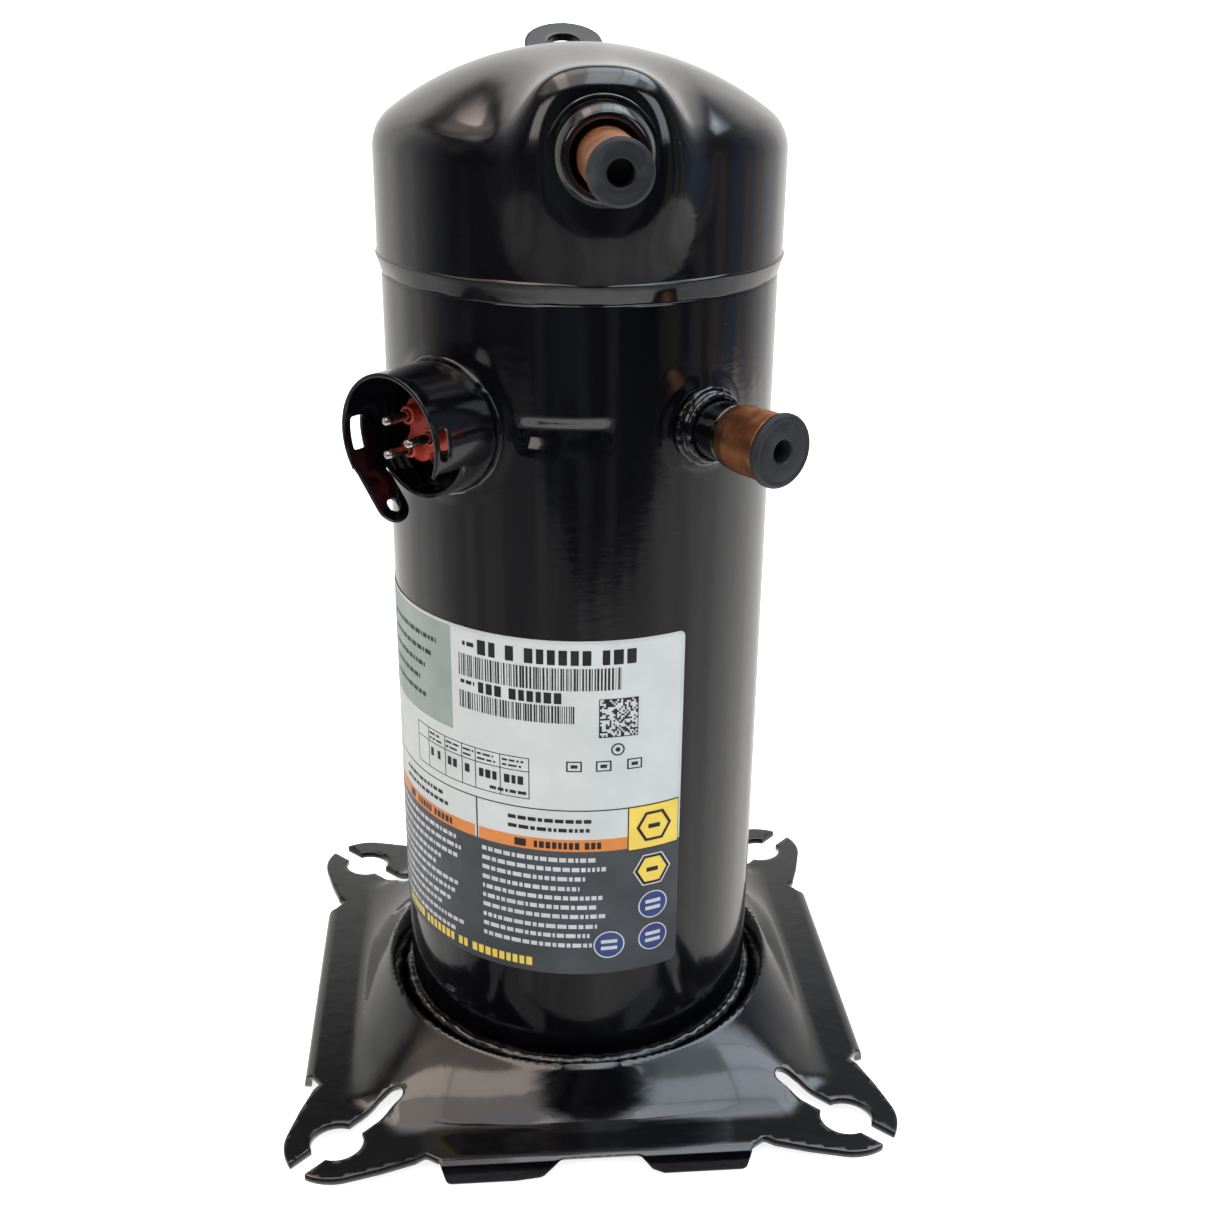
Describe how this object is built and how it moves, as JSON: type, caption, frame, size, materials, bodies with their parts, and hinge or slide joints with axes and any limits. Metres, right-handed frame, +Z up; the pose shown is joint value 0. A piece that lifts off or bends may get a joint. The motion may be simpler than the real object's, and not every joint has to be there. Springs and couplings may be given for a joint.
{
  "type": "scroll compressor",
  "caption": "Hermetic scroll compressor: black welded casing on a keyhole-slotted base plate, with plugged copper suction and discharge stubs, a fenced terminal, a lifting lug and a label.",
  "frame": {"origin": "on the shell's axis, at the level of the base plate's lowest edge", "axes": "+Z up along the shell's axis, -Y towards the discharge stub and the front of the base plate, +X to the right seen from the front"},
  "size_m": [0.2292, 0.2338, 0.3894],
  "materials": {
    "black_paint": "deep gloss black dipped paint over pressed and welded steel",
    "copper": "bare drawn copper, lightly brushed and tarnished",
    "plug_rubber": "matte dark grey moulded rubber",
    "red_insulator": "satin red moulded insulator",
    "pin_nickel": "plated steel terminal pin",
    "label_stock": null,
    "bare_sheet": "oiled bare pressed steel",
    "scroll_iron": "machined grey iron",
    "cast_housing": "cast iron, machined on its faces",
    "sintered_aluminium": "sintered aluminium alloy",
    "bearing_bronze": "steel-backed bronze bearing liner",
    "ground_steel": "ground and polished steel",
    "bolt_steel": "oiled high-tensile steel",
    "laminations": "stacked electrical steel",
    "enamelled_copper": "enamelled copper wire, varnished",
    "counterweight_brass": "plain brass",
    "magnet": "dark ferrite",
    "connector_polymer": "dark moulded connector",
    "lead_insulation": "motor lead sleeve"
  },
  "bodies": {
    "casing": {"top_cap": "black_paint", "shell": "black_paint", "lower_cap": "black_paint", "base_plate": "black_paint", "suction_collar": "black_paint", "discharge_collar": "black_paint", "terminal_fence": "black_paint", "terminal_body": "black_paint", "lifting_lug": "black_paint", "suction_tube": "copper", "discharge_tube": "copper", "terminal_block": "red_insulator", "terminal_pin_1": "pin_nickel", "terminal_pin_2": "pin_nickel", "terminal_pin_3": "pin_nickel", "rating_label": "label_stock", "muffler_plate": "bare_sheet", "main_bearing_housing": "cast_housing", "main_bearing_bush": "bearing_bronze", "thrust_washer": "ground_steel", "stator": "laminations", "stator_winding": "enamelled_copper", "lower_bearing_bracket": "bare_sheet", "lower_bearing_bush": "bearing_bronze", "sump_magnet": "magnet", "discharge_valve_guard": "bare_sheet", "relief_valve_body": "counterweight_brass", "relief_spring": "ground_steel", "suction_baffle": "bare_sheet", "lead_connector": "connector_polymer", "scroll_bolt_1": "bolt_steel", "scroll_bolt_2": "bolt_steel", "scroll_bolt_3": "bolt_steel", "scroll_bolt_4": "bolt_steel", "lead_wire_1": "lead_insulation", "lead_wire_2": "lead_insulation", "lead_wire_3": "lead_insulation"},
    "crank": {"crankshaft": "ground_steel", "drive_bush": "ground_steel", "rotor": "laminations", "upper_counterweight": "counterweight_brass", "lower_counterweight": "counterweight_brass", "oil_pickup": "bare_sheet"},
    "orbiting_scroll_set": {"orbiting_scroll": "scroll_iron", "orbiting_hub_bush": "bearing_bronze"},
    "oldham_ring_body": {"oldham_ring": "sintered_aluminium"},
    "oldham_keys": {"oldham_key_1": "sintered_aluminium", "oldham_key_2": "sintered_aluminium", "oldham_key_3": "sintered_aluminium", "oldham_key_4": "sintered_aluminium"},
    "fixed_scroll_body": {"fixed_scroll": "scroll_iron"},
    "seal": {"floating_seal": "scroll_iron"},
    "valve_disc": {"discharge_valve_disc": "ground_steel"},
    "relief": {"relief_plunger": "ground_steel"},
    "suction_plug_body": {"suction_plug": "plug_rubber"},
    "discharge_plug_body": {"discharge_plug": "plug_rubber"}
  },
  "joints": [
    {"name": "shaft_spin", "type": "hinge", "parent": "casing", "child": "crank", "pos_m": [0, 0, 0.155], "axis": [0, 0, 1], "continuous": true},
    {"name": "scroll_orbit", "type": "hinge", "parent": "crank", "child": "orbiting_scroll_set", "pos_m": [0.004, 0, 0.278], "axis": [0, 0, 1], "continuous": true},
    {"name": "oldham_carry", "type": "hinge", "parent": "crank", "child": "oldham_ring_body", "pos_m": [0.002, 0, 0.283], "axis": [0, 0, 1], "continuous": true},
    {"name": "oldham_hold", "type": "hinge", "parent": "oldham_ring_body", "child": "oldham_keys", "pos_m": [0.004, 0, 0.283], "axis": [0, 0, 1], "continuous": true},
    {"name": "fixed_scroll_lift", "type": "slide", "parent": "casing", "child": "fixed_scroll_body", "axis": [0, 0, 1], "range_m": [0, 0.0009]},
    {"name": "floating_seal_lift", "type": "slide", "parent": "casing", "child": "seal", "axis": [0, 0, 1], "range_m": [0, 0.0008]},
    {"name": "discharge_valve_lift", "type": "slide", "parent": "casing", "child": "valve_disc", "axis": [0, 0, 1], "range_m": [0, 0.004]},
    {"name": "relief_open", "type": "slide", "parent": "casing", "child": "relief", "axis": [0, 0, -1], "range_m": [0, 0.002], "stiffness_N_per_m": 1000, "springref_m": -0.001, "deforming": ["relief_spring"]},
    {"name": "suction_plug_pull", "type": "slide", "parent": "casing", "child": "suction_plug_body", "axis": [0.5344, -0.8453, 0], "range_m": [0, 0.02]},
    {"name": "discharge_plug_pull", "type": "slide", "parent": "casing", "child": "discharge_plug_body", "axis": [0.0262, -0.9997, 0], "range_m": [0, 0.02]}
  ],
  "couplings": [
    {"joint": "scroll_orbit", "follows": "shaft_spin", "ratio": -1},
    {"joint": "oldham_carry", "follows": "shaft_spin", "ratio": -2},
    {"joint": "oldham_hold", "follows": "shaft_spin", "ratio": 1}
  ]
}
